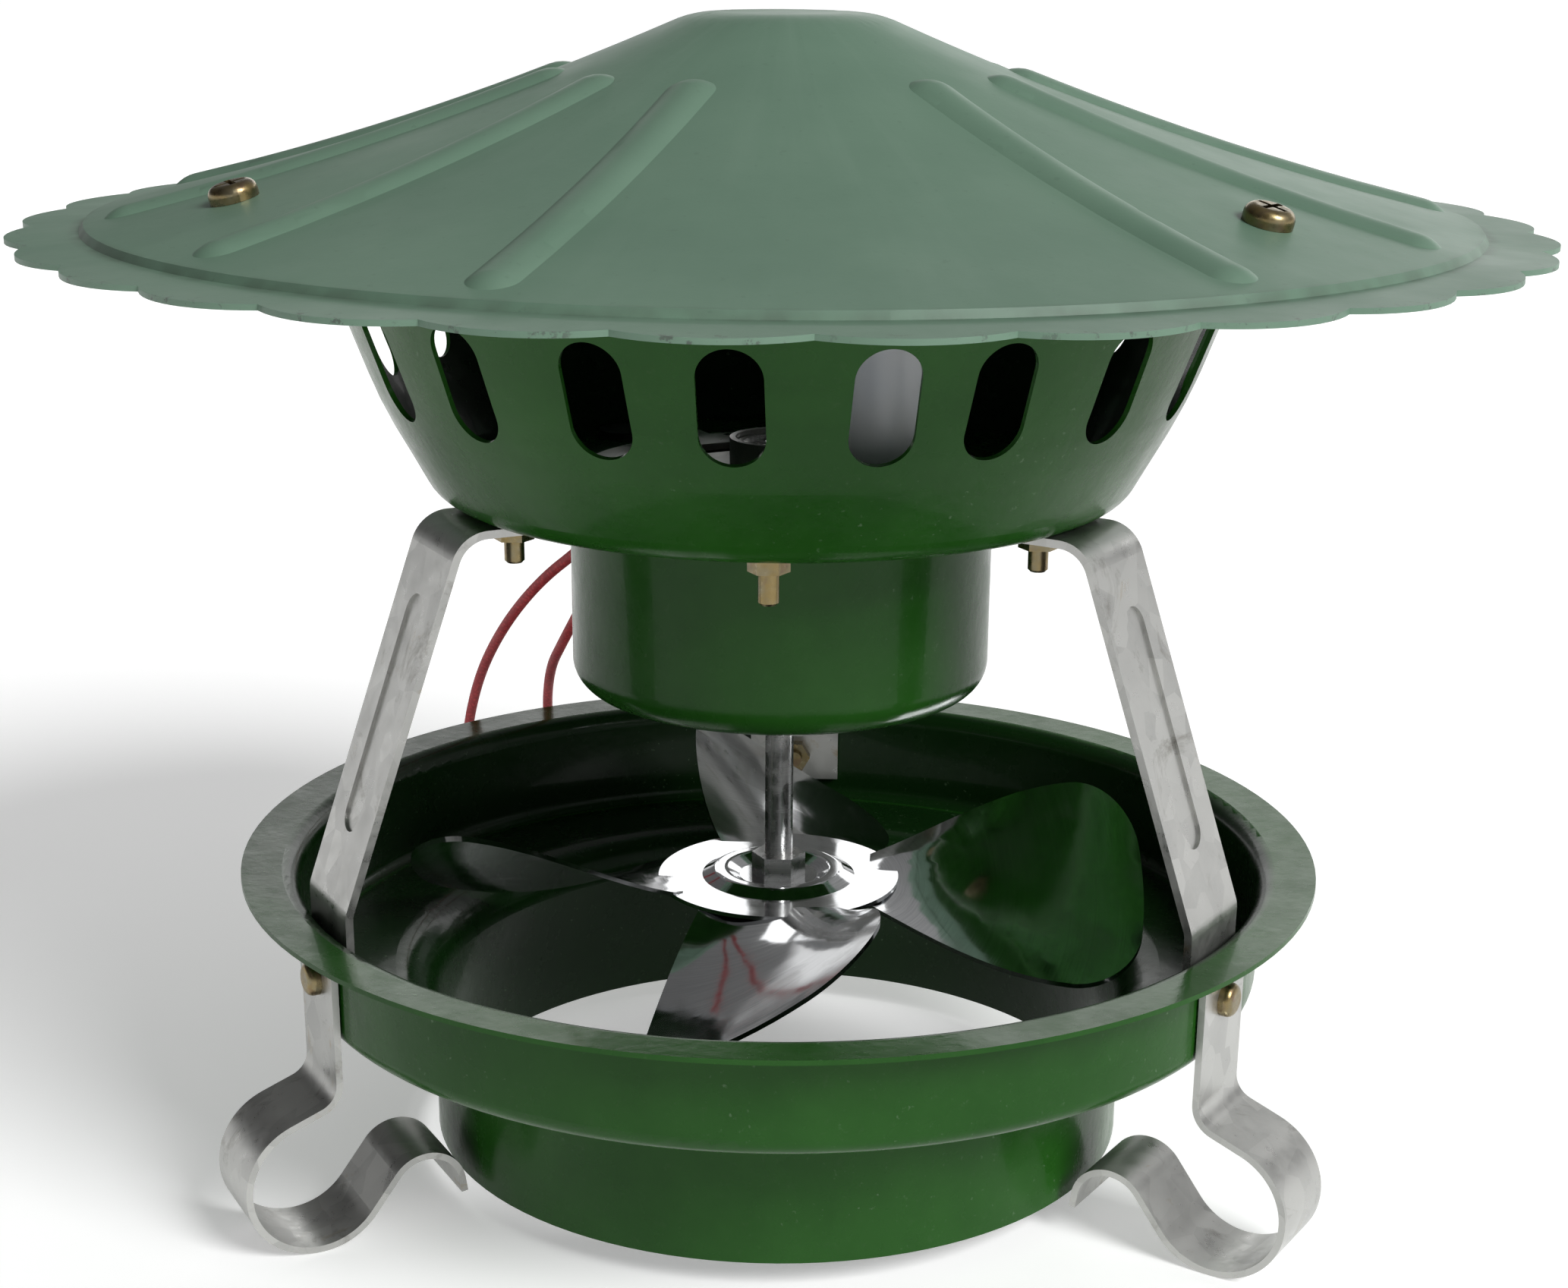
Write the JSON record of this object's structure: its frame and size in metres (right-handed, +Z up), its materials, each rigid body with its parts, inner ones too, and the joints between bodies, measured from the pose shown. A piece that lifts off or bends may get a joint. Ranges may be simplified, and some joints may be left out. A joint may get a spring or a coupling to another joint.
{
  "type": "chimney draught fan",
  "caption": "Chimney draught fan: scalloped rain cap over a slotted motor bowl, strap legs to an inlet ring with a bladed impeller, a pipe spigot and spring clips.",
  "frame": {"origin": "on the fan's axis, in the plane that the spring clips stand on", "axes": "+Z up along the shaft towards the rain cap, -Y towards the front of the picture, one leg at +Y"},
  "size_m": [0.2994, 0.2998, 0.2398],
  "materials": {
    "cap_paint": "satin grey-green paint",
    "green_enamel": "glossy dark green enamel",
    "galvanised": "dull zinc coating",
    "yellow_zinc": "yellow zinc plating",
    "bright_steel": "mirror-bright pressed steel",
    "plated_steel": "plain plated steel",
    "copper": "bare copper wire",
    "core_steel": "stacked steel sheet",
    "lead_sleeve": "dark red insulation",
    "grommet_rubber": "black rubber",
    "capacitor_case": "pale grey moulded case"
  },
  "bodies": {
    "housing": {"rain_cap": "cap_paint", "cap_screws": "yellow_zinc", "cap_nuts": "yellow_zinc", "vent_bowl": "green_enamel", "motor_cup": "green_enamel", "leg_back": "galvanised", "leg_left": "galvanised", "leg_right": "galvanised", "leg_bolts": "yellow_zinc", "leg_nuts": "yellow_zinc", "inlet_ring": "green_enamel", "clip_back": "galvanised", "clip_left": "galvanised", "clip_right": "galvanised", "clip_bolts": "yellow_zinc", "clip_nuts": "yellow_zinc", "lead_one": "lead_sleeve", "lead_two": "lead_sleeve", "capacitor": "capacitor_case", "stator_core": "core_steel", "stator_windings": "copper", "lower_bearing": "plated_steel", "upper_bearing": "plated_steel", "motor_bracket": "galvanised", "bracket_screws": "plated_steel", "capacitor_strap": "galvanised", "strap_screw": "plated_steel", "lead_grommet": "grommet_rubber", "lead_tip_one": "copper", "lead_tip_two": "copper"},
    "rotor": {"shaft": "plated_steel", "rotor_core": "core_steel", "impeller": "bright_steel", "hub_nut_upper": "plated_steel", "hub_nut_lower": "plated_steel", "hub_washer": "plated_steel"}
  },
  "joints": [
    {"name": "fan_spin", "type": "hinge", "parent": "housing", "child": "rotor", "pos_m": [0, 0, 0.06], "axis": [0, 0, 1], "continuous": true}
  ]
}
